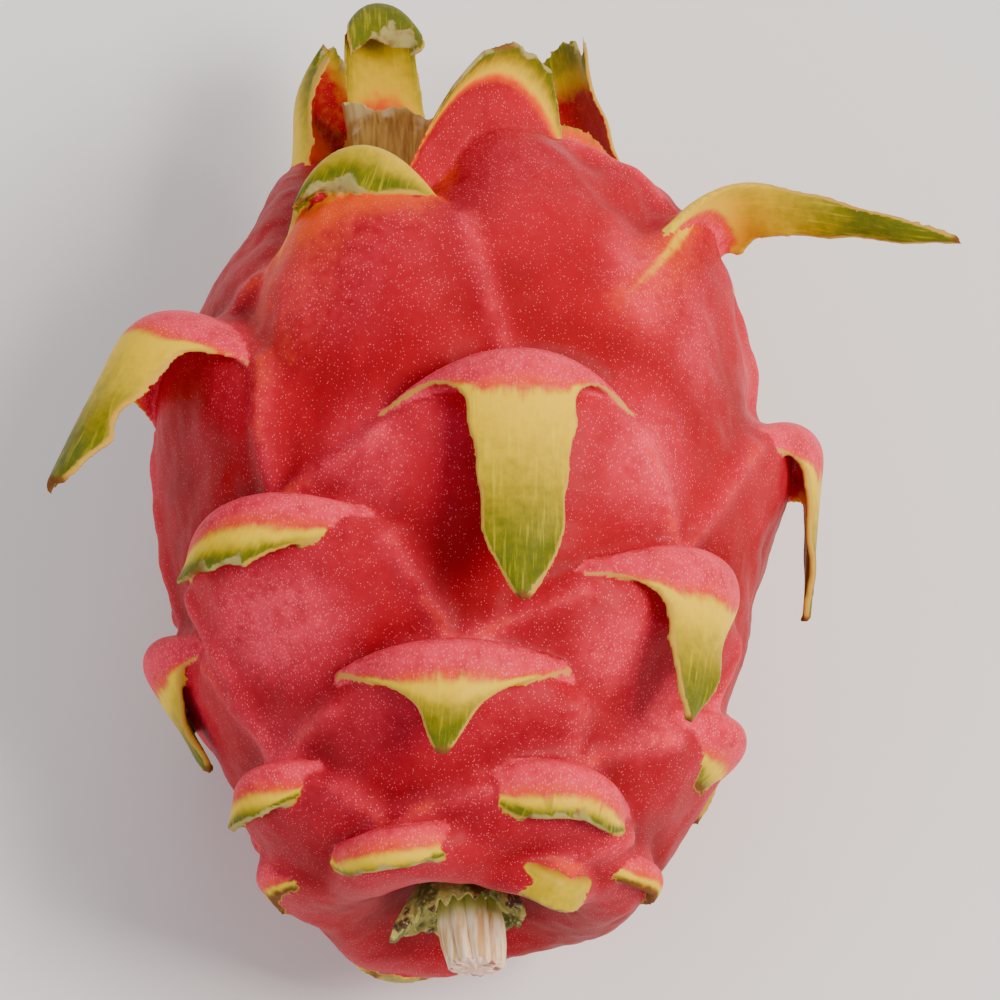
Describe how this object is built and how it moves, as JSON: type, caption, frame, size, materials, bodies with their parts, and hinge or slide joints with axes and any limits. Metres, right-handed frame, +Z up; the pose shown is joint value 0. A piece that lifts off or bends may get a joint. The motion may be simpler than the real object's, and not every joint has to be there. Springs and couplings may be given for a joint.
{
  "type": "dragon fruit",
  "caption": "Whole dragon fruit lying on its side: plump red body with leathery green-tipped scales, a crown of upright bracts, a dry flower tube and a broken stem.",
  "frame": {"origin": "centre of the bounding box's base, on the surface that the fruit rests on", "axes": "+Y along the fruit's long axis from the broken stem to the crown, +Z up, +X to the right of the pictured view"},
  "size_m": [0.1318, 0.1538, 0.0965],
  "materials": {
    "fruit": "satin",
    "stem_stub": "matte",
    "flower_tube": "matte"
  },
  "bodies": {
    "root": {"fruit": "fruit", "stem_stub": "stem_stub", "flower_tube": "flower_tube"}
  },
  "joints": []
}
